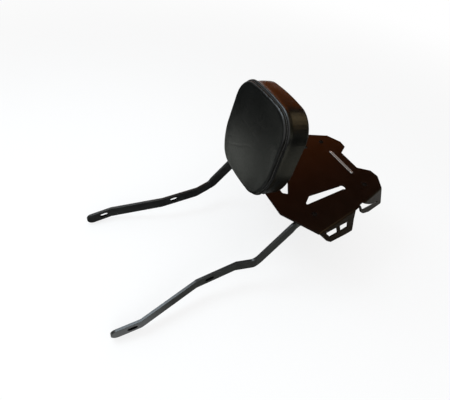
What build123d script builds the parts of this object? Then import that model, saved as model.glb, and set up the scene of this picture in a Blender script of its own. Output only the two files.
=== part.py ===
from build123d import *
import os
from math import atan2, ceil, cos, degrees, hypot, radians, sin, tan

# Luggage rack with a backrest for a motorbike, in millimetres.
# Frame: +Z up, +X the rider's left, -Y forward. The origin is the middle of the
# line through the two front arm slots, where the rack is bolted to the bike.
# The rack is symmetric about x = 0: the left side is modelled, then mirrored.

# Sheet and bar
sheet = 3.0               # folded deck
bar_thick = 5.0           # arms: flat bar on edge
bar_height = 22.5
strip_thick = 4.0         # mounting strips under the deck
bracket_thick = 3.0       # backrest bracket
bend_inner = 2.5          # inner radius of every fold in sheet

# Deck, (x, y) of its left half
deck_top = 145.4
front_edge_y = 276.7
front_corner = (89.5, front_edge_y)
rear_recess_corner = (26.4, 510.7)
rear_tail_inner = (43.2, 534.7)
rear_tail_outer = (62.4, 537.1)
rear_side_corner = (88.8, 521.5)
rear_fold_start = (93.2, 519.3)
rear_fold_end = (120.9, 435.7)
front_fold_start = (125.7, 421.3)
front_fold_end = (150.7, 318.5)
flange_angle = 55.0       # how far the flanges are folded down
corner_round = 3.0        # laser-cut corners

# Slots in the deck, (x, y)
side_slot = [(62.0, 434.0), (66.5, 356.0), (86.2, 332.4), (72.4, 434.0)]
side_slot_tip_y = 443.6
side_slot_corner = 2.0
house_margin = 31.3       # front edge to the opening behind it
house_front_half = 45.5
house_side_half = 51.1
house_side_rise = 9.4
house_apex_rise = 31.3
house_corner = 2.0

# Flanges, (u, v): u runs forward along the fold, v down the flange
rear_flange_outline = [(0.0, 0.0), (12.4, 29.2), (61.4, 24.3), (80.4, 18.6), (88.0, 11.0), (88.0, 0.0)]
rear_loop_front = 82.5    # opening of the rear flange
rear_loop_rear = 23.5
rear_loop_low_front = 10.3
rear_loop_low_rear = 20.8
rear_loop_fold_to = 74.5  # the opening reaches the fold from here to its front end
rear_web_bulge = (55.0, 11.4)
front_flange_outline = [(0.0, 0.0), (9.5, 14.0), (19.5, 33.4), (41.0, 31.7), (83.0, 26.4), (89.5, 21.6), (105.8, 0.0)]
front_window = [(91.0, 5.6), (59.5, 8.5), (59.1, 18.4), (81.6, 16.8)]
rear_window = [(51.8, 9.2), (27.2, 11.6), (30.0, 20.6), (52.3, 19.4)]
flange_corner = 4.0
window_corner = 1.2

# Arms: centre line of the bar in plan (x, y), from the front tip to the rear end
tip_y = -35.3
slot_reach = 147.0        # from the front slot to the rear slot, along Y
bend_1 = (131.6, 15.0)
bend_2 = (105.6, 122.0)
bend_3 = (102.9, 200.5)
bend_4 = (112.0, 237.0)
bend_5_y = 303.0          # from here the bar runs parallel to the deck screws
tip_x = 130.6
plan_bend_radius = 12.0
# Arms in side view: heights of the bar's centre line
bend_1_z = 2.6
bend_2_z = 25.2
bend_3_z = 37.8
bend_4_z = 43.2
rise_past_bend = 2.5      # the side view turns level this far behind the plan's last bend
side_bend_radius = 22.0
slot_width = 9.0          # for an M8 bolt
slot_length = 17.0
rear_slot_z = 29.9

# Deck screws, (x, y)
deck_screw_front = (109.4, 336.7)
deck_screw_rear = (73.8, 488.5)
bar_gap = 0.6             # between the bar's side and the washers beside it
strip_edge = 10.5         # strip beyond the screws on the outer side
strip_inner_edge = 1.5    # strip past the bar on the inner side
strip_end = 14.0          # strip beyond the screws at both ends
strip_corner = 4.0
bar_short = 2.0           # the bar ends this much before the strip

# M6 fasteners
m6 = 6.0
m6_hole = 6.6
head_dia = 10.5
head_height = 3.3
socket_flats = 4.0
socket_depth = 2.0
washer_dia = 12.0
washer_thick = 1.6
nut_flats = 10.0
nut_height = 6.0
thread_gap = 0.05         # radial clearance of a nut on its screw
screw_past_nut = 1.4

# Backrest bracket and pad
pad_lean = 7.7            # top of the pad leans to the rear
pad_face_y = 229.4        # seam plane of the face, at the height of the deck's top
foot_half_width = 33.0
foot_rear_y = 305.0
bracket_screw_y = 292.5
bracket_screw_pitch = 23.0
upright_half_width = 33.0
upright_top = 152.0       # up the leaning plane, from the deck's top
upright_corner = 14.0
foot_corner = 6.0
pad_screw_half_pitch = 21.0
pad_screw_low = 72.0
pad_screw_high = 132.0
spacer_dia = 14.0
spacer_thick = 1.4

pad_bottom = 23.5         # outline of the pad, up the leaning plane
pad_widest = 68.0
pad_top = 180.4
pad_bottom_half = 60.3
pad_widest_half = 81.4
pad_top_half = 75.6
pad_top_arch = 4.9        # middle of the top edge above its corners
pad_bottom_arch = 4.2     # middle of the bottom edge below its corners
pad_bottom_radius = 36.9
pad_side_radius = 80.0
pad_top_radius = 43.2
pad_arch_radius = 300.0
pad_depth = 39.8          # seam plane to the back of the board
pad_dome = 3.8            # face ahead of the seam plane
pad_front_round = 7.0
pad_back_round = 3.0
cover_thick = 1.2
cover_turn_in = 18.0      # leatherette folded over the back of the board
board_thick = 12.0
tnut_flange_dia = 17.0
tnut_flange_thick = 1.2
tnut_barrel_dia = 8.0
tnut_barrel_length = 9.0
tnut_gap = 0.1
pad_screw_length = 16.0

# Blank name strip on the deck
badge_margin = 23.7       # from the deck's rear edge to the middle of the strip
badge_width = 6.0
badge_end = 4.0           # strip beyond each rivet
badge_thick = 0.8
rivet_half_pitch = 35.0
rivet_dia = 2.4
rivet_head_dia = 4.2
rivet_head_height = 0.9

# Worked out from the sizes above
deck_under = deck_top - sheet
badge_y = rear_recess_corner[1] - badge_margin
strip_under = deck_under - strip_thick
bar_top = strip_under
bar_offset = washer_dia / 2 + bar_gap + bar_thick / 2      # from the screws to the bar's centre line
bar_z = bar_top - bar_height / 2
lean = radians(pad_lean)
row_x, row_y = (deck_screw_rear[0] - deck_screw_front[0], deck_screw_rear[1] - deck_screw_front[1])
row_length = hypot(row_x, row_y)
row = Vector(row_x / row_length, row_y / row_length)          # rearward along the deck screws
row_in = Vector(-row.Y, row.X)                                # from the screws towards the middle
row_plane = Plane(origin=(*deck_screw_front, 0), x_dir=(row.X, row.Y, 0), z_dir=(0, 0, 1))
pad_plane = Plane(origin=(0, pad_face_y, deck_top), x_dir=(1, 0, 0), z_dir=(0, -cos(lean), sin(lean)))


def at_depth(depth):
    """Plane parallel to the pad's face, this far behind its seam plane."""
    return pad_plane.offset(-depth)


def rounded(points, radius):
    """Closed outline with every corner rounded."""
    return make_face(FilletPolyline(*points, radius=radius, close=True))


def mirrored_outline(half):
    """Half outline on the +X side, closed by its mirror image."""
    return half + [(-x, y) for x, y in reversed(half)]


# Fasteners, each modelled along +Z with the bearing face of its head at z = 0

def button_screw(grip):
    """Button-head socket screw, head above z = 0 and shank below."""
    dome_radius = (head_height**2 + (head_dia / 2) ** 2) / (2 * head_height)
    cap = Pos(0, 0, head_height - dome_radius) * Sphere(dome_radius)
    head = cap & Pos(0, 0, head_height / 2) * Cylinder(head_dia / 2, head_height)
    socket = Pos(0, 0, head_height - socket_depth) * extrude(
        RegularPolygon(socket_flats / 2, 6, major_radius=False), socket_depth
    )
    shank = Pos(0, 0, -grip / 2) * Cylinder(m6 / 2, grip)
    shank = chamfer(shank.faces().sort_by(Axis.Z)[0].edges(), 0.6)
    return head + shank - socket


def washer(outer, thick):
    """Plain washer, lying below z = 0."""
    return Pos(0, 0, -thick / 2) * (Cylinder(outer / 2, thick) - Cylinder(m6_hole / 2, thick))


def hex_nut():
    """Lock nut, hanging below z = 0, with a round collar at its lower end."""
    collar = nut_height / 4
    body = extrude(RegularPolygon(nut_flats / 2, 6, major_radius=False), -(nut_height - collar))
    ring = Pos(0, 0, -nut_height / 2) * Cylinder(nut_flats / 2 - 0.4, nut_height)
    bore = Pos(0, 0, -nut_height / 2) * Cylinder(m6 / 2 + thread_gap, nut_height)
    return body + ring - bore


def tee_nut():
    """Pronged nut of the pad's board: flange below z = 0, barrel below the flange."""
    flange = Pos(0, 0, -tnut_flange_thick / 2) * Cylinder(tnut_flange_dia / 2, tnut_flange_thick)
    length = tnut_flange_thick + tnut_barrel_length
    barrel = Pos(0, 0, -length / 2) * Cylinder(tnut_barrel_dia / 2, length)
    return flange + barrel - Pos(0, 0, -length / 2) * Cylinder(m6 / 2 + thread_gap, length)


def holes(points, diameter, z_low, z_high):
    """Straight round holes along Z at these places."""
    depth = z_high - z_low
    return [Pos(x, y, (z_low + z_high) / 2) * Cylinder(diameter / 2, depth) for x, y in points]


# Deck

def flange_frame(fold_start, fold_end):
    """Plane on a flange's outer face: x forward along the fold, y down the flange."""
    along = (Vector(*fold_end, 0) - Vector(*fold_start, 0)).normalized()
    outward = Vector(-along.Y, along.X, 0)
    tilt = radians(flange_angle)
    normal = outward * sin(tilt) + Vector(0, 0, cos(tilt))
    return Plane(origin=(*fold_start, deck_top), x_dir=along, z_dir=normal)


def flange(fold_start, fold_end, outline, openings):
    """One folded-down flange with its bend, and the tool that trims the deck for it."""
    frame = flange_frame(fold_start, fold_end)
    tilt = radians(flange_angle)
    setback = (bend_inner + sheet) * tan(tilt / 2)
    first, last = outline[0][0], outline[-1][0]
    depth = max(v for u, v in outline) + 5

    # Cross-section of the folded strip, drawn as its middle line
    overlap = setback + 2.0
    corner = (-sheet / 2 * tan(tilt / 2), -sheet / 2)
    path = FilletPolyline(
        (-overlap, -sheet / 2), corner,
        (corner[0] + depth * cos(tilt), corner[1] - depth * sin(tilt)),
        radius=bend_inner + sheet / 2,
    )
    outward = Vector(-frame.x_dir.Y, frame.x_dir.X, 0)
    section = Plane(origin=frame.from_local_coords(Vector(first, 0, 0)), x_dir=outward,
                    z_dir=outward.cross(Vector(0, 0, 1)))
    strip = extrude(section * trace(path, sheet), last - first, dir=frame.x_dir)

    reach = overlap + sheet
    blank = [(first, -reach)] + outline + [(last, -reach)]
    corners = [0] * 2 + [flange_corner] * (len(outline) - 2) + [0] * 2
    shape = make_face(FilletPolyline(*blank, radius=corners, close=True))
    strip &= frame * extrude(shape, reach + sheet, both=True)
    for opening in openings:
        strip -= frame * extrude(opening, 2 * sheet, both=True)

    trim = extrude(Plane(origin=section.origin, x_dir=frame.x_dir, z_dir=(0, 0, 1))
                   * Pos((last - first) / 2, 25 - setback) * Rectangle(last - first, 50),
                   2 * sheet, both=True)
    return strip, trim


def rear_flange_opening():
    """Strap loop of the rear flange, under a web whose lower edge bulges down."""
    front_top = (rear_loop_front + 3.0, -1.0)
    outline = Polyline(
        (rear_loop_fold_to, -1.0), front_top, (rear_loop_front, rear_loop_low_front),
        (rear_loop_rear, rear_loop_low_rear), (rear_loop_rear + 1.5, rear_loop_low_rear - 2.6),
    )
    web = ThreePointArc(outline @ 1, rear_web_bulge, outline @ 0)
    return make_face(outline + web)


def deck_plate():
    """Folded deck: one sheet with slots, four flanges and holes for every screw."""
    half = [rear_recess_corner, rear_tail_inner, rear_tail_outer, rear_side_corner, rear_fold_start,
            rear_fold_end, front_fold_start, front_fold_end, front_corner]
    outline = mirrored_outline(half)
    plate = Pos(0, 0, deck_under) * extrude(rounded(outline, corner_round), sheet)

    tip = ((side_slot[0][0] + side_slot[-1][0]) / 2, side_slot_tip_y)
    tip_round = ThreePointArc(side_slot[-1], tip, side_slot[0])
    slot = make_face(Polyline(*side_slot) + tip_round)
    slot = fillet(slot.vertices().sort_by(Axis.Y)[:2], side_slot_corner)
    slot = Pos(0, 0, deck_under) * extrude(slot, sheet)
    house_front_y = front_edge_y + house_margin
    house_side_y = house_front_y + house_side_rise
    house = rounded([(0, house_side_y + house_apex_rise), (house_side_half, house_side_y),
                     (house_front_half, house_front_y), (-house_front_half, house_front_y),
                     (-house_side_half, house_side_y)], house_corner)
    plate -= Pos(0, 0, deck_under) * extrude(house, sheet)

    rear = flange(rear_fold_start, rear_fold_end, rear_flange_outline, [rear_flange_opening()])
    front = flange(front_fold_start, front_fold_end, front_flange_outline,
                   [rounded(front_window, window_corner), rounded(rear_window, window_corner)])
    for solid, trim in (rear, front):
        for side in (lambda s: s, lambda s: s.mirror(Plane.YZ)):
            plate -= side(trim)
            plate += side(solid)
    plate -= [slot, slot.mirror(Plane.YZ)]

    places = deck_screw_places() + bracket_screw_places()
    plate -= holes(places, m6_hole, deck_under, deck_top)
    plate -= holes([(-rivet_half_pitch, badge_y), (rivet_half_pitch, badge_y)], rivet_dia, deck_under, deck_top)
    return plate


def deck_screw_places():
    front, rear = deck_screw_front, deck_screw_rear
    return [front, rear, (-front[0], front[1]), (-rear[0], rear[1])]


def bracket_screw_places():
    return [(n * bracket_screw_pitch, bracket_screw_y) for n in (1, 0, -1)]


# Arms

def bar_under_deck():
    """Ends of the bar's straight run under the deck, beside the two deck screws."""
    beside = Vector(*deck_screw_front, 0) + row_in * bar_offset
    start = beside + row * ((bend_5_y - beside.Y) / row.Y)
    end = beside + row * (row_length + strip_end - bar_short)
    return (start.X, start.Y), (end.X, end.Y)


def left_arm():
    """Bar on edge: its plan and its side view, each a ribbon, cut from one another."""
    bend_5, end = bar_under_deck()
    plan_path = FilletPolyline((tip_x, tip_y), bend_1, bend_2, bend_3, bend_4, bend_5, end,
                               radius=plan_bend_radius)
    plan = extrude(trace(plan_path, bar_thick), 2 * deck_top, both=True)

    tip_slope = bend_1_z / bend_1[1]
    side_points = [(tip_y, tip_y * tip_slope), (bend_1[1], bend_1_z), (bend_2[1], bend_2_z),
                   (bend_3[1], bend_3_z), (bend_4[1], bend_4_z), (bend_5[1] + rise_past_bend, bar_z), (end[1] + 5, bar_z)]
    side_path = FilletPolyline(*side_points, radius=side_bend_radius)
    side = trace(side_path, bar_height)
    tip_corners = side.vertices().sort_by(Axis.X)[:2]
    side = fillet(tip_corners, bar_height / 2 - 0.1)
    slots = []
    for y, z, slope in ((0, 0, tip_slope),
                        (slot_reach, rear_slot_z, (bend_3_z - bend_2_z) / (bend_3[1] - bend_2[1]))):
        slots.append(Pos(y, z) * Rot(0, 0, degrees(atan2(slope, 1))) * SlotOverall(slot_length, slot_width))
    side -= slots
    return plan & extrude(Plane.YZ * side, 2 * tip_x)


def left_strip():
    """Mounting strip: welded on the bar's top edge, drilled for the deck screws."""
    inner = bar_offset + bar_thick / 2 + strip_inner_edge
    width = inner + strip_edge
    length = row_length + 2 * strip_end
    blank = Pos(row_length / 2, (inner - strip_edge) / 2) * RectangleRounded(length, width, strip_corner)
    strip = Pos(0, 0, strip_under) * extrude(row_plane * blank, strip_thick)
    return strip - holes([deck_screw_front, deck_screw_rear], m6_hole, strip_under, deck_under)


# Backrest bracket

bracket_front = pad_depth + spacer_thick       # depth of the upright's front face
pad_screw_places = {
    "upper_left": (pad_screw_half_pitch, pad_screw_high), "upper_right": (-pad_screw_half_pitch, pad_screw_high),
    "lower_left": (pad_screw_half_pitch, pad_screw_low), "lower_right": (-pad_screw_half_pitch, pad_screw_low),
}


def backrest_bracket():
    """Folded bracket: a foot under the deck and a leaning upright behind the pad."""
    foot_mid_z = deck_under - bracket_thick / 2
    middle = bracket_front + bracket_thick / 2
    top = at_depth(middle).from_local_coords(Vector(0, upright_top, 0))
    fold_y = top.Y - (top.Z - foot_mid_z) * tan(lean)
    path = FilletPolyline((foot_rear_y, foot_mid_z), (fold_y, foot_mid_z), (top.Y, top.Z),
                          radius=bend_inner + bracket_thick / 2)
    folded = extrude(Plane.YZ * trace(path, bracket_thick), foot_half_width, both=True)

    upright = Pos(0, upright_top / 2 - 20) * Rectangle(2 * upright_half_width, upright_top + 40)
    upright = fillet(upright.vertices().sort_by(Axis.Y)[-2:], upright_corner)
    foot = Pos(0, (foot_rear_y + fold_y) / 2 - 10) * Rectangle(2 * foot_half_width, foot_rear_y - fold_y + 20)
    foot = fillet(foot.vertices().sort_by(Axis.Y)[-2:], foot_corner)
    above = at_depth(middle) * extrude(upright, 2 * bracket_thick, both=True)
    below = Pos(0, 0, deck_under) * extrude(foot, -2 * bracket_thick)
    folded &= above + below
    folded -= holes(bracket_screw_places(), m6_hole, deck_under - bracket_thick, deck_under)
    for x, s in pad_screw_places.values():
        folded -= at_depth(middle) * Pos(x, s) * Cylinder(m6_hole / 2, 2 * bracket_thick)
    return folded


# Pad

def pad_outline(inset):
    """Rounded outline of the pad, drawn up the leaning plane."""
    points = [(pad_bottom_half, pad_bottom), (pad_widest_half, pad_widest), (pad_top_half, pad_top)]
    radii = [pad_bottom_radius, pad_side_radius, pad_top_radius]
    bottom, top = (0, pad_bottom - pad_bottom_arch), (0, pad_top + pad_top_arch)
    corners = [bottom] + points + [top] + [(-x, y) for x, y in reversed(points)]
    radii = [pad_arch_radius] + radii + [pad_arch_radius] + radii[::-1]
    outline = make_face(FilletPolyline(*corners, radius=radii, close=True))
    return offset(outline, amount=-inset) if inset else outline


def pad_body(inset, front, back, front_round, back_round):
    """Solid of the pad's outline between two depths, with rounded rims."""
    solid = extrude(at_depth(back) * pad_outline(inset), back - front)
    along = Axis(pad_plane.origin, pad_plane.z_dir)
    faces = solid.faces().sort_by(along)
    if front_round:
        solid = fillet(faces[-1].edges(), front_round)
    if back_round:
        solid = fillet(solid.faces().sort_by(along)[0].edges(), back_round)
    return solid


def pad_cover():
    """Leatherette cover: face, side band and the edge turned in over the board's back."""
    skin = pad_body(0, -pad_dome, pad_depth + cover_thick, pad_front_round, pad_back_round)
    inside = pad_body(cover_thick, -pad_dome + cover_thick, pad_depth,
                      pad_front_round - cover_thick, pad_back_round - cover_thick)
    window = at_depth(pad_depth + 2 * cover_thick) * extrude(pad_outline(cover_turn_in), 2 * cover_thick)
    return skin - inside - window


def pad_foam():
    """Foam block between the board and the cover's face."""
    return pad_body(cover_thick, -pad_dome + cover_thick, pad_depth - board_thick,
                    pad_front_round - cover_thick, 0)


def pad_board():
    """Plywood board with the seats of four pronged nuts in its front face."""
    board = pad_body(cover_thick, pad_depth - board_thick, pad_depth, 0, pad_back_round - cover_thick)
    for x, s in pad_screw_places.values():
        front = at_depth(pad_depth - board_thick) * Pos(x, s)
        seat = tnut_flange_thick + tnut_gap
        board -= front * Pos(0, 0, -seat / 2) * Cylinder(tnut_flange_dia / 2 + tnut_gap, seat)
        board -= front * Pos(0, 0, -board_thick / 2) * Cylinder(tnut_barrel_dia / 2 + tnut_gap, board_thick)
    return board


# Name strip

def badge_strip():
    """Blank name strip, riveted on the deck."""
    badge_length = 2 * (rivet_half_pitch + badge_end)
    blank = Pos(0, badge_y) * SlotOverall(badge_length, badge_width)
    strip = Pos(0, 0, deck_top) * extrude(blank, badge_thick)
    return strip - holes([(-rivet_half_pitch, badge_y), (rivet_half_pitch, badge_y)], rivet_dia,
                         deck_top, deck_top + badge_thick)


def badge_rivet(x):
    """Rivet through the strip and the deck, closed by a tail under the deck."""
    top = deck_top + badge_thick
    shank = Pos(x, badge_y, (top + deck_under) / 2) * Cylinder(rivet_dia / 2, top - deck_under)
    head = Pos(x, badge_y, top + rivet_head_height / 2) * Cylinder(rivet_head_dia / 2, rivet_head_height)
    head = fillet(head.edges().sort_by(Axis.Z)[-1], rivet_head_height * 0.8)
    tail = Pos(x, badge_y, deck_under - rivet_head_height / 2) * Cylinder(rivet_head_dia / 2, rivet_head_height)
    return shank + head + tail


# Assembly

parts = {"rack_plate": deck_plate(), "left_arm": left_arm(), "left_mounting_strip": left_strip()}
parts["right_arm"] = parts["left_arm"].mirror(Plane.YZ)
parts["right_mounting_strip"] = parts["left_mounting_strip"].mirror(Plane.YZ)
parts["backrest_bracket"] = backrest_bracket()

screw_names = ["front_left_deck", "rear_left_deck", "front_right_deck", "rear_right_deck",
               "left_bracket", "middle_bracket", "right_bracket"]
for name, (x, y) in zip(screw_names, deck_screw_places() + bracket_screw_places()):
    grip = sheet + (strip_thick if name.endswith("deck") else bracket_thick)
    under = deck_top - grip
    length = ceil(grip + washer_thick + nut_height + screw_past_nut)
    parts[f"{name}_screw"] = Pos(x, y, deck_top) * button_screw(length)
    parts[f"{name}_washer"] = Pos(x, y, under) * washer(washer_dia, washer_thick)
    turn = degrees(atan2(row.Y, row.X)) * (1 if x > 0 else -1)
    parts[f"{name}_nut"] = Pos(x, y, under - washer_thick) * Rot(0, 0, turn + 90) * hex_nut()

bracket_back = bracket_front + bracket_thick
for name, (x, s) in pad_screw_places.items():
    to_rear = Rot(180, 0, 0)
    parts[f"{name}_pad_screw"] = at_depth(bracket_back + washer_thick) * Pos(x, s) * to_rear * button_screw(
        pad_screw_length)
    parts[f"{name}_pad_washer"] = at_depth(bracket_back) * Pos(x, s) * washer(washer_dia, washer_thick)
    parts[f"{name}_pad_spacer"] = at_depth(pad_depth) * Pos(x, s) * washer(spacer_dia, spacer_thick)
    parts[f"{name}_tee_nut"] = at_depth(pad_depth - board_thick) * Pos(x, s) * tee_nut()

parts["pad_board"] = pad_board()
parts["pad_foam"] = pad_foam()
parts["pad_cover"] = pad_cover()
parts["badge_strip"] = badge_strip()
parts["left_badge_rivet"] = badge_rivet(rivet_half_pitch)
parts["right_badge_rivet"] = badge_rivet(-rivet_half_pitch)

os.makedirs("parts", exist_ok=True)
for name, shape in parts.items():
    export_step(shape, f"parts/{name}.step")
    print(f"{name:28s} {len(shape.solids())} solid  {shape.volume / 1000:9.2f} cm3")
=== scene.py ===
# %% [markdown]
# # A luggage rack with a backrest, dressed for its picture
# The rack's solids come from the CAD model: a folded steel deck, two arms of flat bar on edge, the
# screws that hold them and the board behind the pad. Here they get their finishes, the pad is sewn
# and stuffed, and the small things that only show close by are added. Every length is in metres.

# %% Load the solids
import math

import bmesh
import bpy
from mathutils import Matrix, Vector
from mathutils.bvhtree import BVHTree


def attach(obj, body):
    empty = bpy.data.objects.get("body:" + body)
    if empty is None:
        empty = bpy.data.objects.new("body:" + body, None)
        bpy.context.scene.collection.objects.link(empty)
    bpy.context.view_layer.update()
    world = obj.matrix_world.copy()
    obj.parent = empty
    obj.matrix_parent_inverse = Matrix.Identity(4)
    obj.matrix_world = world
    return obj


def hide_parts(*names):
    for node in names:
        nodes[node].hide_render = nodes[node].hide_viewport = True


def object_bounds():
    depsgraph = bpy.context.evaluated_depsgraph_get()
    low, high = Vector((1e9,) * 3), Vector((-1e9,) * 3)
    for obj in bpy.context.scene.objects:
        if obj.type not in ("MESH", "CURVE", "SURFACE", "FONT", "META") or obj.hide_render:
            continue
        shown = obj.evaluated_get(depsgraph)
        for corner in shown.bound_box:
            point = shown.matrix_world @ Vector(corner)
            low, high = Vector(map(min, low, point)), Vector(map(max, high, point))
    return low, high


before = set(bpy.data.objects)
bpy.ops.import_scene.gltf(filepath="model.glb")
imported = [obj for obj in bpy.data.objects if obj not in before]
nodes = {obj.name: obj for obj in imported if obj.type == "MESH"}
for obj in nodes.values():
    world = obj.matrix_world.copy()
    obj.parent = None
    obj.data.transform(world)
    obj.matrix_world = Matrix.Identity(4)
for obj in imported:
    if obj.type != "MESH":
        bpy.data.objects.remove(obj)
cad_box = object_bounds()
print(len(nodes), "solids, box", [round(v, 3) for corner in cad_box for v in corner])

# %% [markdown]
# ## The picture
# The camera stands in front of the rack on the rider's left, well above it, and is rolled a little,
# so that upright things lean to the right in the frame. Its three directions are written out as rows,
# which keeps the roll exact. The lens follows from the field of view: 315.44 pixels of focal length
# on a frame 450 pixels wide is 25.2 mm on a 36 mm sensor.

# %% Camera
focal_pixels, frame_pixels, sensor = 315.44, 450, 36.0
eye = Vector((0.36211, -0.01037, 0.54184))
right = Vector((0.407948, 0.903775, 0.129498))
down = Vector((0.691384, -0.213165, -0.690325))
forward = Vector((-0.596294, 0.371149, -0.711816))
camera = bpy.data.objects.new("camera", bpy.data.cameras.new("camera"))
bpy.context.collection.objects.link(camera)
turned = Matrix((right, -down, -forward)).transposed().to_4x4()
camera.matrix_world = Matrix.Translation(eye) @ turned
camera.data.sensor_width = sensor
camera.data.lens = focal_pixels / frame_pixels * sensor
camera.data.clip_start, camera.data.clip_end = 0.01, 50.0
bpy.context.scene.camera = camera
bpy.context.scene.view_settings.view_transform = "Standard"
print("lens", round(camera.data.lens, 2), "mm")

# %% [markdown]
# ## Writing shaders as sums
# A finish is a small formula: a colour here, more of another colour where a noise is high, a bump
# that follows a grain. One class wraps a node's output, so that formulas can be written with plus
# and times signs. Each line of a finish then reads like what it does.

# %% Values that can be added
class Value:
    """One output of a node, with the usual arithmetic on numbers."""

    def __init__(self, tree, output):
        self.tree, self.output = tree, output

    def math(self, operation, *others):
        return self.tree.add("Math", {"operation": operation}, 0, *((self,) + others))

    def __add__(self, other):
        return self.math("ADD", other)

    def __radd__(self, other):
        return self.math("ADD", other)

    def __sub__(self, other):
        return self.math("SUBTRACT", other)

    def __rsub__(self, other):
        return self.tree.add("Math", {"operation": "SUBTRACT"}, 0, other, self)

    def __mul__(self, other):
        return self.math("MULTIPLY", other)

    def __rmul__(self, other):
        return self.math("MULTIPLY", other)

    def clipped(self):
        return self.math("MINIMUM", 1.0).math("MAXIMUM", 0.0)

    def step(self, low, high):
        """0 below low, 1 above high, smooth between them."""
        settings = {"interpolation_type": "SMOOTHSTEP"}
        return self.tree.add("MapRange", settings, 0, self, low, high, 0.0, 1.0)


print("values can be added, taken away and multiplied")

# %% [markdown]
# ## A finish and its nodes
# A second class is the material itself. One method makes any node from its kind, its settings and
# what goes into it, so no link has to be drawn by hand, and the others are short names for the nodes
# that nearly every finish here uses: a noise, a mix of two colours, a bump.

# %% Finish helpers
class Finish:
    """A material whose nodes are made by formulas."""

    def __init__(self, name, roughness, specular=0.5, metallic=0.0):
        self.material = bpy.data.materials.new(name)
        self.material.use_nodes = True
        self.nodes = self.material.node_tree.nodes
        self.links = self.material.node_tree.links
        self.surface = self.nodes["Principled BSDF"]
        self.surface.inputs["Roughness"].default_value = roughness
        self.surface.inputs["Specular IOR Level"].default_value = specular
        self.surface.inputs["Metallic"].default_value = metallic
        self.place = self.add("TexCoord", {}, "Object")

    def feed(self, socket, value):
        if isinstance(value, Value):
            self.links.new(value.output, socket)
        elif socket.type == "RGBA":
            socket.default_value = (*value, 1.0)
        else:
            socket.default_value = value

    def add(self, kind, settings, output, *inputs, **named):
        """A node of this kind: its settings, the output wanted, then its inputs in order or by name."""
        node = self.nodes.new("ShaderNode" + kind)
        for key, value in settings.items():
            setattr(node, key, value)
        for index, value in enumerate(inputs):
            if value is not None:
                self.feed(node.inputs[index], value)
        for name, value in named.items():
            self.feed(node.inputs[name.replace("_", " ")], value)
        return Value(self, node.outputs[output])

    def vector(self, operation, *inputs, output=0, **named):
        """Arithmetic on places and directions; output 1 is for those whose answer is a number."""
        return self.add("VectorMath", {"operation": operation}, output, *inputs, **named)

    def coordinate(self, axis, place=None):
        return self.add("SeparateXYZ", {}, axis, place or self.place)

    def noise(self, scale, detail=2.0, place=None):
        return self.add("TexNoise", {}, 0, Vector=place or self.place, Scale=scale, Detail=detail)

    def mixed(self, factor, first, second):
        """First colour where the factor is 0, second where it is 1."""
        node = self.nodes.new("ShaderNodeMix")
        node.data_type = "RGBA"
        # A Mix node has sockets for each kind of data: the colours go into 6 and 7 and come out of 2.
        for index, value in ((0, factor), (6, first), (7, second)):
            self.feed(node.inputs[index], value)
        return Value(self, node.outputs[2])

    def bump(self, height, distance, strength=1.0, below=None):
        named = {"Height": height, "Distance": distance, "Strength": strength}
        if below is not None:
            named["Normal"] = below
        return self.add("Bump", {}, 0, **named)

    def set(self, socket, value):
        self.feed(self.surface.inputs[socket], value)

    def distance_to_line(self, place, start, end):
        """How far a place is from a short line, and the place's share of the way along it."""
        start, along = Vector(start), Vector(end) - Vector(start)
        offset = self.vector("SUBTRACT", place, tuple(start))
        per_length = tuple(along / along.length_squared)
        share = self.vector("DOT_PRODUCT", offset, per_length, output=1).clipped()
        nearest = self.vector("SCALE", tuple(along), Scale=share)
        return self.vector("DISTANCE", offset, nearest, output=1), share

    def veiled(self, factor, shader):
        """Another shader over this finish wherever the factor is 1."""
        blend = self.nodes.new("ShaderNodeMixShader")
        self.feed(blend.inputs[0], factor)
        self.links.new(self.surface.outputs[0], blend.inputs[1])
        self.links.new(shader.outputs[0], blend.inputs[2])
        self.links.new(blend.outputs[0], self.nodes["Material Output"].inputs[0])

    def blackened(self, factor):
        """Painted shade: dull black wherever the factor is 1, for gaps that no light gets out of."""
        dull = self.nodes.new("ShaderNodeBsdfDiffuse")
        dull.inputs["Color"].default_value = (0.0025, 0.0025, 0.0025, 1)
        self.veiled(factor, dull)


print("a finish can be made from noises, mixes and bumps")

# %% [markdown]
# ## Black powder coat
# Powder coat is plastic dust that melts into a skin about 0.1 mm thick. It flows only a little, so it
# keeps a fine waviness like orange peel, under a satin gloss. The black isn't neutral: the deck's
# top looks brown-black, the arms a little cooler. Edges are rounded by the coat, which a Bevel node
# shows without changing the solid.

# %% Powder coat
def powder_coat(name, dark, light, specular, roughness, edge):
    coat = Finish(name, roughness, specular)
    cloud = coat.noise(38.0, 3.0)
    coat.set("Base Color", coat.mixed(cloud.step(0.35, 0.68), dark, light))
    coat.set("Roughness", roughness - 0.05 + 0.1 * coat.noise(120.0, 2.0))
    peel = coat.noise(750.0, 1.0) + 0.5 * coat.noise(1900.0, 1.0)
    rounded = coat.add("Bevel", {"samples": 6}, 0, edge)
    coat.set("Normal", coat.bump(peel, 0.00005, 1.0, below=rounded))
    return coat


def in_slots(coat, slots, half_straight, half_width):
    """1 on the walls of the bolt slots, given the middle and the slope of each in side view."""
    side_view = coat.vector("MULTIPLY", coat.place, (0, 1, 1))
    inside = 0.0
    for (y, z), slope in slots:
        reach = Vector((0, math.cos(slope), math.sin(slope))) * half_straight
        middle = Vector((0, y, z))
        distance, share = coat.distance_to_line(side_view, middle - reach, middle + reach)
        inside = 1.0 - distance.step(half_width, half_width + 0.0001) + inside
    return inside


def dress(finish, *names):
    """The finish on these solids of the model, in place of their plain one."""
    for name in names:
        nodes[name].data.materials.clear()
        nodes[name].data.materials.append(finish)


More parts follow.
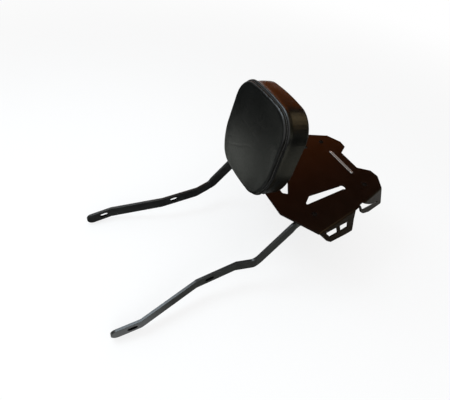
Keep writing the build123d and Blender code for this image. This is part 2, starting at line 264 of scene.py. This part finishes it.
deck_coat = powder_coat("deck_coat", (0.0044, 0.0013, 0.0005), (0.0068, 0.0021, 0.0009), 0.30, 0.30, 0.0007)
arm_coat = powder_coat("arm_coat", (0.0080, 0.0083, 0.0080), (0.0120, 0.0124, 0.0118), 0.5, 0.30, 0.0012)
front_slot, rear_slot = ((0, 0), 0.1716), ((0.147, 0.0299), 0.1592)
# Painted shade: the walls of the bolt slots are veiled in dull black, where little light gets in.
arm_coat.blackened(in_slots(arm_coat, (front_slot, rear_slot), 0.0040, 0.0046))
under_deck = ("left_mounting_strip", "right_mounting_strip", "backrest_bracket")
dress(deck_coat.material, "rack_plate")
dress(arm_coat.material, "left_arm", "right_arm", *under_deck)
print("powder coat on", 3 + len(under_deck), "solids")

# %% [markdown]
# ## Zinc plate
# Nuts, washers, spacers and the pad's screws are zinc plated: a pale metal, cloudy because the bath
# never coats evenly. A coarse noise carries the clouds and a fine one the roughness.

# %% Zinc
zinc = Finish("zinc_plate", 0.34, 0.5, 1.0)
cloud = zinc.noise(240.0, 3.0)
zinc.set("Base Color", zinc.mixed(cloud.step(0.3, 0.7), (0.40, 0.41, 0.43), (0.58, 0.59, 0.60)))
zinc.set("Roughness", 0.28 + 0.14 * zinc.noise(900.0, 2.0))
rounded = zinc.add("Bevel", {"samples": 4}, 0, 0.0003)
zinc.set("Normal", zinc.bump(zinc.noise(2200.0, 1.0), 0.00003, 1.0, below=rounded))
zinc_parts = [n for n in nodes if n.endswith(("_nut", "_washer", "_spacer", "_pad_screw"))]
dress(zinc.material, *zinc_parts)
print("zinc on", len(zinc_parts), "solids")

# %% [markdown]
# ## Blackened screws
# The screws of the deck and the bracket are blackened steel, so they hide in the black coat. Below
# the deck their threads show.
# A real thread would need many faces on each screw, so a bump of 1 mm waves stands in for it.

# %% Blackened steel
black_steel = Finish("blackened_steel", 0.55, 0.05)
thread_pitch, thread_top = 0.001, 0.1400
height = black_steel.coordinate("Z")
below_head = 1.0 - height.step(thread_top - 0.0002, thread_top + 0.0002)
thread = (height * (2 * math.pi / thread_pitch)).math("SINE") * below_head
cloud = black_steel.noise(300.0).step(0.3, 0.7)
black_steel.set("Base Color", black_steel.mixed(cloud, (0.0042, 0.0026, 0.0018), (0.0070, 0.0046, 0.0034)))
black_steel.set("Normal", black_steel.bump(thread, 0.00025, 1.0))
black_screws = [n for n in nodes if n.endswith("_screw") and "_pad_" not in n]
dress(black_steel.material, *black_screws)
print("blackened steel on", len(black_screws), "screws")

# %% [markdown]
# ## Badge strip and rivets
# The strip is aluminium, brushed along its length, with a dark field between two bright borders. The
# brush lines are a noise stretched along the strip. Its rivets are left bright.

# %% Aluminium
strip_middle, field_half = 0.4870, 0.0018
brushed = Finish("brushed_aluminium", 0.30, 0.5, 1.0)
lengthwise = brushed.vector("MULTIPLY", brushed.place, (0.04, 1.0, 1.0))
grain = brushed.noise(5200.0, 2.0, place=lengthwise)
across = (brushed.coordinate("Y") - strip_middle).math("ABSOLUTE")
field = 1.0 - across.step(field_half - 0.0001, field_half + 0.0001)
border = brushed.mixed(grain, (0.55, 0.55, 0.54), (0.78, 0.78, 0.77))
brushed.set("Base Color", brushed.mixed(field, border, (0.16, 0.15, 0.14)))
brushed.set("Metallic", 0.6 - 0.3 * field)
brushed.set("Roughness", 0.34 + 0.16 * grain)
brushed.set("Normal", brushed.bump(grain, 0.00002, 1.0))
bright = Finish("bright_aluminium", 0.26, 0.5, 1.0)
bright.set("Base Color", bright.mixed(bright.noise(500.0), (0.80, 0.80, 0.80), (0.92, 0.92, 0.92)))
rivets = ("left_badge_rivet", "right_badge_rivet")
dress(brushed.material, "badge_strip")
dress(bright.material, *rivets)
print("aluminium on", 1 + len(rivets), "solids")

# %% [markdown]
# ## The board's wood
# The pad's board is birch plywood. Its outer veneer has long grain, which is a noise squeezed across
# the board, and a few darker growth lines.

# %% Plywood
wood = Finish("birch_plywood", 0.62, 0.35)
squeezed = wood.vector("MULTIPLY", wood.place, (0.08, 1.0, 1.0))
grain = wood.noise(420.0, 4.0, place=squeezed)
rings = wood.noise(70.0, 2.0, place=squeezed)
tone = wood.mixed(grain.step(0.35, 0.65), (0.36, 0.22, 0.115), (0.55, 0.385, 0.225))
wood.set("Base Color", wood.mixed(rings.step(0.52, 0.62) * 0.45, tone, (0.27, 0.15, 0.07)))
wood.set("Roughness", 0.55 + 0.15 * grain)
wood.set("Normal", wood.bump(grain, 0.0001, 1.0))
dress(wood.material, "pad_board")
print("wood on the board")

# %% [markdown]
# ## The pad's own frame
# The pad leans back by 7.7 degrees. It is drawn lying flat, x across, y up its face and z out of the
# face, and one matrix then stands it up where it belongs. Its outline is eight corners, each rounded
# by a vertex bevel: the length taken off both edges is the radius times the tangent of half the turn.
# That is shorter to write than arcs worked out point by point, and a corner is easy to move.

# %% Pad outline
lean = math.radians(7.7)
pad_origin = Vector((0, 0.2294, 0.1454))
pad_up = Vector((0, math.sin(lean), math.cos(lean)))
pad_ahead = Vector((0, -math.cos(lean), math.sin(lean)))
turned_up = Matrix((Vector((1, 0, 0)), pad_up, pad_ahead)).transposed().to_4x4()
stand_up = Matrix.Translation(pad_origin) @ turned_up
corners = [((0, 0.0193), 0.3), ((0.0603, 0.0235), 0.0369), ((0.0814, 0.0680), 0.080),
           ((0.0756, 0.1804), 0.0432), ((0, 0.1853), 0.3)]
corners += [((-x, y), r) for (x, y), r in reversed(corners[1:-1])]


def pad_outline(mesh, inset, height):
    """The pad's rounded outline as one face at this height, drawn in by the inset."""
    face = mesh.faces.new([mesh.verts.new((x, y, height)) for (x, y), _ in corners])
    spots = [v.co.copy() for v in face.verts]
    for index, (_, radius) in enumerate(corners):
        before, here, after = (spots[(index + k) % len(spots)] for k in (-1, 0, 1))
        turn = (here - before).angle(after - here)
        vert = min(mesh.verts, key=lambda v: (v.co - here).length)
        bmesh.ops.bevel(mesh, geom=[vert], offset=radius * math.tan(turn / 2), offset_type="OFFSET",
                        segments=10, profile=0.5, affect="VERTICES", material=-1)
    face = mesh.faces[:][0]
    if inset:
        made = bmesh.ops.inset_individual(mesh, faces=[face], thickness=inset, use_even_offset=True)
        bmesh.ops.delete(mesh, geom=made["faces"], context="FACES")
        bmesh.ops.delete(mesh, geom=[v for v in mesh.verts if not v.link_faces], context="VERTS")
    return mesh.faces[:][0]


trial = bmesh.new()
drawn = [v.co for v in pad_outline(trial, 0, 0).verts]
print("outline", round(max(p.x for p in drawn) * 2000, 1), "mm wide,",
      round((max(p.y for p in drawn) - min(p.y for p in drawn)) * 1000, 1), "mm high")
trial.free()

# %% [markdown]
# ## Blocks from the outline
# The pad's foam and the room for its board have the same outline, one set in from the other, so one
# function pulls the outline into a block and rounds its rims. Another turns a finished mesh into a
# piece of the rack: edges sharper than about 40 degrees stay sharp, all else is shaded smooth.

# %% Blocks and pieces
pad_back = -0.0410
sharp_turn = 0.7


def pad_block(inset, front, back, front_round, back_round):
    """The outline pulled into a block between two heights, its rims rounded."""
    mesh = bmesh.new()
    face = pad_outline(mesh, inset, front)
    pulled = bmesh.ops.extrude_face_region(mesh, geom=[face])["geom"]
    bmesh.ops.translate(mesh, verts=[v for v in pulled if isinstance(v, bmesh.types.BMVert)],
                        vec=(0, 0, back - front))
    bmesh.ops.recalc_face_normals(mesh, faces=mesh.faces)
    for height, size in ((front, front_round), (back, back_round)):
        if size:
            rim = [e for e in mesh.edges if all(abs(v.co.z - height) < 1e-6 for v in e.verts)]
            bmesh.ops.bevel(mesh, geom=rim, offset=size, offset_type="OFFSET", segments=6, profile=0.5,
                            affect="EDGES", material=-1, clamp_overlap=False)
    return mesh


def loose_object(name, mesh):
    """The mesh as an object of the scene, which isn't yet a piece of the rack."""
    data = bpy.data.meshes.new(name)
    mesh.to_mesh(data)
    mesh.free()
    made = bpy.data.objects.new(name, data)
    bpy.context.collection.objects.link(made)
    return made


def piece(name, mesh, finish, upright=True):
    """The mesh as an object of the rack, stood up if it was drawn lying on the pad's plane."""
    if upright:
        bmesh.ops.transform(mesh, matrix=stand_up, verts=mesh.verts)
    for face in mesh.faces:
        face.smooth = True
    for edge in mesh.edges:
        if edge.is_manifold and edge.calc_face_angle() > sharp_turn:
            edge.smooth = False
    made = loose_object(name, mesh)
    made.data.materials.append(finish)
    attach(made, "root")
    return made


trial = pad_block(0, 0, pad_back, 0, 0.003)
print("a block of", len(trial.faces), "faces")
trial.free()

# %% [markdown]
# ## Creases in the cover
# The cover creases softly where the face has been pressed. The creases are short lines in the pad's
# own plane, so a Mapping node first lays that plane flat, and each line is strongest in its middle
# and fades to its ends and sides. Carved creases would need a much finer net.

# %% Creases
def lying_flat(finish):
    """Coordinates on the pad's plane: x across, y up the face, z out of it."""
    turn = stand_up.to_euler()
    return finish.add("Mapping", {"vector_type": "TEXTURE"}, 0, finish.place, tuple(pad_origin),
                      tuple(turn))


def crease(finish, place, start, end, width):
    """1 along a line on the face that fades to its ends and its sides."""
    flat = finish.vector("MULTIPLY", place, (1, 1, 0))
    distance, share = finish.distance_to_line(flat, (*start, 0.0), (*end, 0.0))
    return (1.0 - distance.step(0.0, width)) * (share * (1.0 - share) * 4.0).clipped()


face_creases = [((-0.060, 0.052), (0.012, 0.095), 0.0030, 1.0),
                ((-0.045, 0.119), (0.000, 0.114), 0.0022, 0.7),
                ((-0.002, 0.115), (0.029, 0.111), 0.0022, 0.7),
                ((0.000, 0.160), (0.025, 0.162), 0.0020, 0.5),
                ((-0.008, 0.132), (0.038, 0.139), 0.0024, 0.6),
                ((-0.069, 0.066), (-0.046, 0.077), 0.0024, 0.7),
                ((-0.046, 0.138), (-0.022, 0.129), 0.0022, 0.5)]
print(len(face_creases), "creases")

# %% [markdown]
# ## Leatherette
# The cover is black leatherette: a cloth back with a pressed skin. Its grain is a net of small pebbles
# about a millimetre across, which cell noise gives. A soft noise lets the creases wander a little.
# Deep in the seam no light gets out, so black shade is painted there.

# %% Leatherette
seam_middle = -0.0011


def leatherette(name, roughness, creases):
    skin = Finish(name, roughness, 0.42)
    plane = lying_flat(skin)
    pebble = skin.add("TexVoronoi", {"feature": "DISTANCE_TO_EDGE"}, "Distance", Vector=skin.place,
                      Scale=1050.0)
    net = pebble.step(0.0, 0.16)
    fine = skin.noise(2600.0, 1.0)
    cloud = skin.noise(22.0, 3.0)
    dark, light = (0.0024, 0.0026, 0.0021), (0.0038, 0.0040, 0.0034)
    skin.set("Base Color", skin.mixed(cloud.step(0.3, 0.7), dark, light))
    skin.set("Roughness", roughness + 0.05 - 0.10 * net + 0.08 * cloud)
    wander = 0.0035
    swirl = skin.add("TexNoise", {}, 1, Vector=plane, Scale=55.0, Detail=2.0)
    place = skin.vector("ADD", plane, skin.vector("SCALE", swirl, Scale=2 * wander))
    place = skin.vector("SUBTRACT", place, (wander, wander, wander))
    folds = 0.0
    for start, end, width, depth in creases:
        folds = crease(skin, place, start, end, width) * depth + folds
    grain = skin.bump(net * 0.10 + fine * 0.06, 0.0006, 0.4)
    skin.set("Normal", skin.bump(folds * -1.0, 0.0006, 0.26, below=grain))
    # Painted shade: a band of dull black along the seam's groove, where no light gets out.
    off_seam = (skin.coordinate("Z", plane) - seam_middle).math("ABSOLUTE")
    skin.blackened((1.0 - off_seam.step(0.0008, 0.0014)) * 0.9)
    return skin.material


skin_finish = leatherette("black_leatherette", 0.27, face_creases)
print("leatherette ready, seam at", seam_middle * 1000, "mm")

# %% [markdown]
# ## The pad before stuffing
# A real pad is a foam block glued on a board, with a cover pulled over it and stapled behind. Here it
# begins as a block a little too small, turned into an even net of 4 mm cells, because cloth moves
# well only where its cells are all alike.

# %% Pad as an even net
def finish_modifiers(thing):
    """Work the modifiers into the mesh and drop them."""
    graph = bpy.context.evaluated_depsgraph_get()
    made = bpy.data.meshes.new_from_object(thing.evaluated_get(graph))
    thing.modifiers.clear()
    old, thing.data = thing.data, made
    bpy.data.meshes.remove(old)


board_front = -0.0278
pad = loose_object("pad", pad_block(0.0010, 0.0008, pad_back, 0.0035, 0.0025))
remesh = pad.modifiers.new("even_net", "REMESH")
remesh.mode, remesh.voxel_size = "VOXEL", 0.004
finish_modifiers(pad)
print("a net of", len(pad.data.polygons), "cells")

# %% [markdown]
# ## Stuffing the pad
# The foam pushes the cover out between the seam and the board, where it is held. So a cloth
# simulation blows the net up, with the seam and the board's side held still. Sculpting the crown by
# hand would be quicker, but pressure gives the even, tight swell of real foam. A cap keeps any point
# from moving more than 5 mm.

# %% Pad blown up
foam_steps = 20
rest = [v.co.copy() for v in pad.data.vertices]
held = pad.vertex_groups.new(name="held")
for vert in pad.data.vertices:
    at_board = vert.co.z < board_front + 0.002
    at_seam = vert.co.z > -0.0045 and abs(vert.normal.z) < 0.75
    if at_board or at_seam:
        held.add([vert.index], 1.0, "REPLACE")
cloth = pad.modifiers.new("foam", "CLOTH")
cloth.settings.quality = 6
cloth.settings.mass = 0.2
cloth.settings.tension_stiffness = cloth.settings.compression_stiffness = 12.0
cloth.settings.shear_stiffness = 6.0
cloth.settings.bending_stiffness = 0.6
cloth.settings.use_pressure = True
cloth.settings.uniform_pressure_force = 4.0
cloth.settings.effector_weights.gravity = 0.0
cloth.settings.vertex_group_mass = "held"
for step in range(1, foam_steps + 1):
    bpy.context.scene.frame_set(step)
finish_modifiers(pad)
bpy.context.scene.frame_set(1)
cap, moved = 0.005, 0.0
for vert, start in zip(pad.data.vertices, rest):
    move = vert.co - start
    moved = max(moved, move.length)
    if move.length > 1e-7:
        vert.co = start + move.normalized() * cap * math.tanh(move.length / cap)
print("the cover moved up to", round(moved * 1000, 1), "mm, capped at", cap * 1000)

# %% [markdown]
# ## Seam, band and back edge
# The net is divided twice so that it can take finer shape. Behind the board's front the cover lies
# tight on the wood, and a seam keeps its line too, so the points there are laid on the exact block.
# The seam runs round the pad where the face meets the side band: planes are cut through the net
# there, so that the sewn groove and the two rolled lips beside it fall on real edges. They are pushed
# in and out square to a plain straight wall, which is steadier than the net's own slopes.

# %% Pad shaped
def smooth_step(low, high, value):
    share = min(1.0, max(0.0, (value - low) / (high - low)))
    return share * share * (3 - 2 * share)


groove_depth, groove_width = 0.0022, 0.0011
lip_height, lip_width, lip_aside = 0.0009, 0.0009, 0.0024
rounder = pad.modifiers.new("rounder", "SUBSURF")
rounder.levels = rounder.render_levels = 2
finish_modifiers(pad)
shape = bmesh.new()
shape.from_mesh(pad.data)
plane_gap = 0.00075
for index in range(-7, 6):
    bmesh.ops.bisect_plane(shape, geom=shape.verts[:] + shape.edges[:] + shape.faces[:], dist=1e-5,
                           plane_co=(0, 0, index * plane_gap), plane_no=(0, 0, 1))
tight = pad_block(0.0, 0.0040, pad_back, 0.0060, 0.0030)
wall = pad_block(0.0, 0.0600, -0.0800, 0, 0)
tight_tree, wall_tree = BVHTree.FromBMesh(tight), BVHTree.FromBMesh(wall)
for vert in shape.verts:
    height = vert.co.z
    _, out, _, inward = wall_tree.find_nearest(vert.co)
    behind = 1.0 - smooth_step(board_front, board_front + 0.018, height)
    rim = smooth_step(-0.0120, -0.0045, height) * (1.0 - smooth_step(0.0, 0.0048, height))
    vert.co = vert.co.lerp(tight_tree.find_nearest(vert.co)[0], max(behind, rim))
    from_seam = height - seam_middle
    groove = -groove_depth * math.exp(-(from_seam / groove_width) ** 2)
    lips = lip_height * sum(math.exp(-((from_seam + side) / lip_width) ** 2)
                            for side in (-lip_aside, lip_aside))
    vert.co += out * (groove + lips) * (1.0 - smooth_step(0.0030, 0.0060, inward))
tight.free()
wall.free()
bmesh.ops.triangulate(shape, faces=[f for f in shape.faces if len(f.verts) > 4])
shape.to_mesh(pad.data)
shape.free()
print("net now", len(pad.data.polygons), "faces")

# %% [markdown]
# ## The seat of the board
# From behind one sees the board in a frame of cover that is turned in over its edge. The cover is
# thin there, so the board's room and a window are cut out of the stuffed block.

# %% Pad opened behind
def cut_away(thing, cutter_mesh):
    bmesh.ops.recalc_face_normals(cutter_mesh, faces=cutter_mesh.faces)
    cutter = loose_object("cutter", cutter_mesh)
    cut = thing.modifiers.new("cut", "BOOLEAN")
    cut.operation, cut.solver, cut.object = "DIFFERENCE", "EXACT", cutter
    finish_modifiers(thing)
    bpy.data.objects.remove(cutter)


cut_away(pad, pad_block(0.0012, board_front, -0.0398, 0, 0.0018))
cut_away(pad, pad_block(0.0192, -0.035, -0.050, 0, 0))
sewn = bmesh.new()
sewn.from_mesh(pad.data)
bpy.data.objects.remove(pad)
open_edges = sum(1 for e in sewn.edges if not e.is_manifold)
pad_tree = BVHTree.FromBMesh(sewn)
pad = piece("pad", sewn, skin_finish)
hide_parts("pad_cover", "pad_foam")
print("pad has", len(pad.data.polygons), "faces and", open_edges, "open edges")

# %% [markdown]
# ## Stitches
# Face and band are sewn together in the groove. Each stitch is one small bead of thread, laid on the
# stuffed cover by a ray shot inwards at it. A row of beads looks like thread from any side, where a
# printed line would lie flat.

# %% Stitches
stitch_count, stitch_size = 180, (0.0022, 0.0013, 0.0014)
bead_faces = 48


def round_the_pad(inset, count, height):
    """Places evenly spaced on the outline, each with the directions along it and out of it.

    Rounding can add one place more, which falls on the first.
    """
    mesh = bmesh.new()
    ring = [v.co.copy() for v in pad_outline(mesh, inset, height).verts]
    mesh.free()
    sides = [(a, b - a) for a, b in zip(ring, ring[1:] + ring[:1])]
    pitch = sum(side.length for _, side in sides) / count
    due = 0.0
    for start, side in sides:
        while due < side.length:
            along = side.normalized()
            yield start + along * due, along, along.cross(Vector((0, 0, 1)))
            due += pitch
        due -= side.length


def placed(spot, along, out, size):
    """The matrix that lays a shape of unit radius on a spot, long side along, its height out."""
    turned = Matrix((along, out.cross(along), out)).transposed().to_4x4()
    half_size = Matrix.Diagonal((size[0] / 2, size[1] / 2, size[2] / 2, 1))
    return Matrix.Translation(spot) @ turned @ half_size


def add_bead(mesh, matrix):
    """One small ball, eight faces round and six high, stretched and laid by the matrix."""
    bmesh.ops.create_uvsphere(mesh, u_segments=8, v_segments=6, radius=1, matrix=matrix)


thread_finish = Finish("black_thread", 0.55, 0.4)
spun = thread_finish.noise(3000.0)
thread_finish.set("Base Color", thread_finish.mixed(spun, (0.045, 0.045, 0.042), (0.100, 0.098, 0.090)))
stitches = bmesh.new()
for spot, along, out in round_the_pad(0, stitch_count, seam_middle):
    hit = pad_tree.ray_cast(spot + out * 0.02, -out)[0]
    if hit:
        add_bead(stitches, placed(hit - out * 0.0002, along, out, stitch_size))
print(len(stitches.faces) // bead_faces, "stitches")
piece("stitches", stitches, thread_finish.material)

# %% [markdown]
# ## Staples
# Behind, staples hold the turned-in edge of the cover on the wood. A hand-held stapler never sets
# them quite straight, so each one is turned by a few degrees, up to twelve either way.

# %% Staples
staple_count, staple_inset, staple_size = 28, 0.0115, (0.0100, 0.0012, 0.0010)
staple_faces = 6 + 12 + 8
back_way = Vector((0, 0, -1))
staples = bmesh.new()
for index, (spot, along, out) in enumerate(round_the_pad(staple_inset, staple_count, pad_back)):
    askew = Matrix.Rotation(math.radians((index * 37) % 24 - 12), 3, "Z") @ along
    made = bmesh.ops.create_cube(staples, size=2, matrix=placed(spot, askew, back_way, staple_size))
    edges = [e for v in made["verts"] for e in v.link_edges]
    bmesh.ops.bevel(staples, geom=list(set(edges)), offset=0.0003, offset_type="OFFSET", segments=1,
                    profile=0.5, affect="EDGES", material=-1)
print(len(staples.faces) // staple_faces, "staples")
piece("staples", staples, zinc.material)

# %% [markdown]
# ## Welds
# Each arm's bar is welded to its mounting strip along both sides, in short runs between the screws. A
# run is a row of flattened beads that overlap, the way each pulse of the welder leaves its ripple.

# %% Welds
strip_under = 0.1384
first_screw, last_screw = Vector((0.1094, 0.3367, 0)), Vector((0.0738, 0.4885, 0))
row = (last_screw - first_screw).normalized()
row_in = Vector((-row.y, row.x, 0))
bar_sides, run_starts = (0.0066, 0.0116), (0.004, 0.066, 0.128)
beads_in_run, bead_step, bead_size = 16, 0.0016, (0.0042, 0.0056, 0.0054)
beads = bmesh.new()
for side in (1, -1):
    for bar_side, start in ((b, r) for b in bar_sides for r in run_starts):
        for step in range(beads_in_run):
            spot = first_screw + row * (start + bead_step * step) + row_in * bar_side
            spot += Vector((0, 0, strip_under))
            along, out = row.copy(), Vector((0, 0, 1))
            spot.x, along.x = side * spot.x, side * along.x
            add_bead(beads, placed(spot, along, out, bead_size))
print(len(beads.faces) // bead_faces, "beads of weld")
piece("welds", beads, arm_coat.material, upright=False)

# %% [markdown]
# ## The floor
# The rack stands on a wide sheet of white paper that only has to show its soft shadow. The paper
# glows white to the camera and in reflections, most of all far off, so that it runs into the white
# room without an edge. To the light that falls on things it is plain paper.

# %% Floor
def flat_board(name, width, depth, centre, facing):
    """A plain square of board, for the floor or a card, its place in its mesh."""
    mesh = bmesh.new()
    bmesh.ops.create_grid(mesh, x_segments=1, y_segments=1, size=0.5)
    turn = Vector(facing).to_track_quat("Z", "Y").to_matrix().to_4x4()
    bmesh.ops.transform(mesh, verts=mesh.verts,
                        matrix=Matrix.Translation(centre) @ turn @ Matrix.Diagonal((width, depth, 1, 1)))
    board = loose_object(name, mesh)
    return board


def seen_white(finish):
    """1 for the camera and for mirrored or passing rays, 0 for the light that falls on things."""
    rays = {kind: finish.add("LightPath", {}, kind) for kind in
            ("Is Camera Ray", "Is Glossy Ray", "Is Transmission Ray")}
    return (rays["Is Camera Ray"] + rays["Is Glossy Ray"] + rays["Is Transmission Ray"]).clipped()


low = cad_box[0].z
floor = flat_board("floor", 30.0, 30.0, (0, 0.25, low - 0.001), (0, 0, 1))
paper = Finish("floor_paper", 0.9, 0.0)
paper.set("Base Color", paper.mixed(paper.noise(3.0), (0.93, 0.93, 0.93), (0.95, 0.95, 0.95)))
glow = paper.nodes.new("ShaderNodeEmission")
glow.inputs["Color"].default_value = (1, 1, 1, 1)
far_off = paper.vector("DISTANCE", paper.place, (0, 0.25, low), output=1).step(0.8, 2.6)
paper.veiled(seen_white(paper) * (0.72 + 0.28 * far_off), glow)
floor.data.materials.append(paper.material)
print("floor at", round(low - 0.001, 4))

# %% [markdown]
# ## Cards for the reflections
# Black gloss shows hardly any colour of its own. What one sees on it is what it mirrors, and in an
# all-white room the black would look foggy. So cards stand round the rack that only mirrored rays
# see. A brown wall behind the deck and beige light behind the pad warm the coat, a pool of light on
# the floor gives the pad's lower half its sheen, and dark walls keep the rest black. Cards were
# chosen over more lamps, because a lamp would also wash out the matt parts.

# %% What the cards show
def pool_of_light(face):
    """Pale near one spot on the floor, dark further out."""
    away = face.vector("DISTANCE", face.place, (-0.34, 0.06, low), output=1)
    return face.mixed(away.step(0.06, 0.27), (0.96, 1.00, 0.92), (0.030, 0.032, 0.034))


def warm_wall(face):
    """Beige light behind the pad, brown towards the right, above a dark band and an olive foot."""
    x, z = face.coordinate("X"), face.coordinate("Z")
    foot = face.mixed(z.step(0.30, 0.45), (0.34, 0.33, 0.22), (0.0, 0.0, 0.0))
    beige = face.mixed(x.step(0.30, 0.85), (1.30, 0.95, 0.48), (0.35, 0.20, 0.05))
    return face.mixed(z.step(0.84, 0.96), foot, beige)


def brown_wall(face):
    """Brown light behind the deck, darkest in the middle and beige at its right end."""
    x = face.coordinate("X")
    brown = face.mixed(x.step(-0.95, -0.62), (0.35, 0.082, 0.008), (0.02, 0.006, 0.003))
    return face.mixed(x.step(-0.25, 0.0), brown, (0.80, 0.58, 0.30))


def lit_strip(face):
    """Grey beside the near arm, paler towards its tip, black further out but for a dull olive patch."""
    x, y = face.coordinate("X"), face.coordinate("Y")
    beside = face.mixed(y.step(0.0, 0.10), (0.66, 0.68, 0.68), (0.17, 0.18, 0.165))
    across = x + y
    corner = face.mixed(across.step(0.72, 0.86), (0.0, 0.0, 0.0), (0.58, 0.57, 0.46))
    corner = face.mixed(across.step(1.03, 1.15), corner, (0.0, 0.0, 0.0))
    outer = face.mixed(y.step(0.36, 0.46), (0.02, 0.02, 0.02), corner)
    return face.mixed(x.step(0.17, 0.26), beside, outer)


print("four patterns ready")

# %% [markdown]
# ## The cards in place
# Each card is a flat board at its place, facing the rack. Its face gives off light of its own, so no
# lamp is needed for it, and it is hidden from the camera, from diffuse light and from shadows.

# %% Cards
def mirror_card(name, width, depth, centre, facing, colour):
    """A card that only mirrored rays see: it shapes reflections, and neither lights nor shades."""
    made = flat_board(name, width, depth, centre, facing)
    face = Finish(name + "_face", 1.0, 0.0)
    face.set("Base Color", (0.0, 0.0, 0.0))
    face.set("Emission Color", colour(face) if callable(colour) else colour)
    face.set("Emission Strength", 1.0)
    made.data.materials.append(face.material)
    made.visible_camera = made.visible_diffuse = made.visible_shadow = made.visible_transmission = False


mirror_card("brown_card", 2.8, 2.2, (-0.85, 1.15, 1.05), (0.55, -0.45, -0.7), brown_wall)
mirror_card("left_card", 3.2, 3.2, (-1.55, -0.55, low), (0, 0, 1), pool_of_light)
mirror_card("right_card", 1.7, 2.6, (0.91, 0.20, low), (0, 0, 1), lit_strip)
mirror_card("ceiling_card", 0.8, 0.6, (-0.55, 0.32, 1.0), (0, 0, -1), (0.03, 0.03, 0.035))
mirror_card("left_wall", 3.6, 1.0, (-1.5, -1.25, 0.3), (0.756, 0.655, 0), (0.03, 0.032, 0.034))
mirror_card("right_wall", 1.5, 1.5, (1.27, 1.23, 0.73), (-0.68, -0.73, 0), (0.005, 0.005, 0.005))
mirror_card("end_wall", 2.0, 0.7, (1.7, 0.0, 0.33), (-1, 0, 0), (0.02, 0.02, 0.02))
mirror_card("warm_card", 1.4, 1.88, (0.65, 1.155, 1.0), (0, -1, -0.3), warm_wall)

# %% [markdown]
# ## The room
# The room is plain white light from every side. To the camera and in reflections it is full white;
# the light that falls on things is a quarter weaker, so that the lamps still model the shapes. The
# world has its own node tree, so its few nodes are linked by hand.

# %% Room
room = bpy.data.worlds.new("room")
bpy.context.scene.world = room
room.use_nodes = True
room_nodes, room_links = room.node_tree.nodes, room.node_tree.links
rays = room_nodes.new("ShaderNodeLightPath")
seen = rays.outputs["Is Camera Ray"]
for kind in ("Is Glossy Ray", "Is Transmission Ray"):
    either = room_nodes.new("ShaderNodeMath")
    either.operation = "MAXIMUM"
    room_links.new(seen, either.inputs[0])
    room_links.new(rays.outputs[kind], either.inputs[1])
    seen = either.outputs[0]
strength = room_nodes.new("ShaderNodeMapRange")
strength.inputs["To Min"].default_value = 0.75
strength.inputs["To Max"].default_value = 1.0
room_links.new(seen, strength.inputs["Value"])
room_links.new(strength.outputs[0], room_nodes["Background"].inputs["Strength"])
room_nodes["Background"].inputs["Color"].default_value = (1, 1, 1, 1)
print("room lit with", len(room_nodes), "nodes")

# %% [markdown]
# ## Lamps
# Two soft lamps do the rest. The cool one hangs over the left of the picture and gives the arms and
# flanges their pale top edges. The other stands behind the camera, fills the shadows, and is kept
# out of reflections, where it would show as a white square.

# %% Lamps
def soft_lamp(name, place, aim, size, watts):
    """A square lamp of this size, turned towards what it aims at."""
    data = bpy.data.lights.new(name, "AREA")
    data.shape, data.size, data.size_y, data.energy = "RECTANGLE", size, size, watts
    lamp = bpy.data.objects.new(name, data)
    lamp.location = place
    lamp.rotation_mode = "QUATERNION"
    lamp.rotation_quaternion = (Vector(aim) - Vector(place)).to_track_quat("-Z", "Y")
    bpy.context.collection.objects.link(lamp)
    return lamp


key_lamp = soft_lamp("key_lamp", (-0.29, -0.27, 0.89), (0.13, 0.02, 0.02), 0.42, 3.8)
key_lamp.data.color = (0.76, 0.90, 1.0)
side_lamp = soft_lamp("side_lamp", (1.3, -0.3, 0.7), (0.0, 0.3, 0.1), 0.8, 5.0)
side_lamp.visible_glossy = False
print("lamps of", round(key_lamp.data.energy, 1), "and", round(side_lamp.data.energy, 1), "watts")
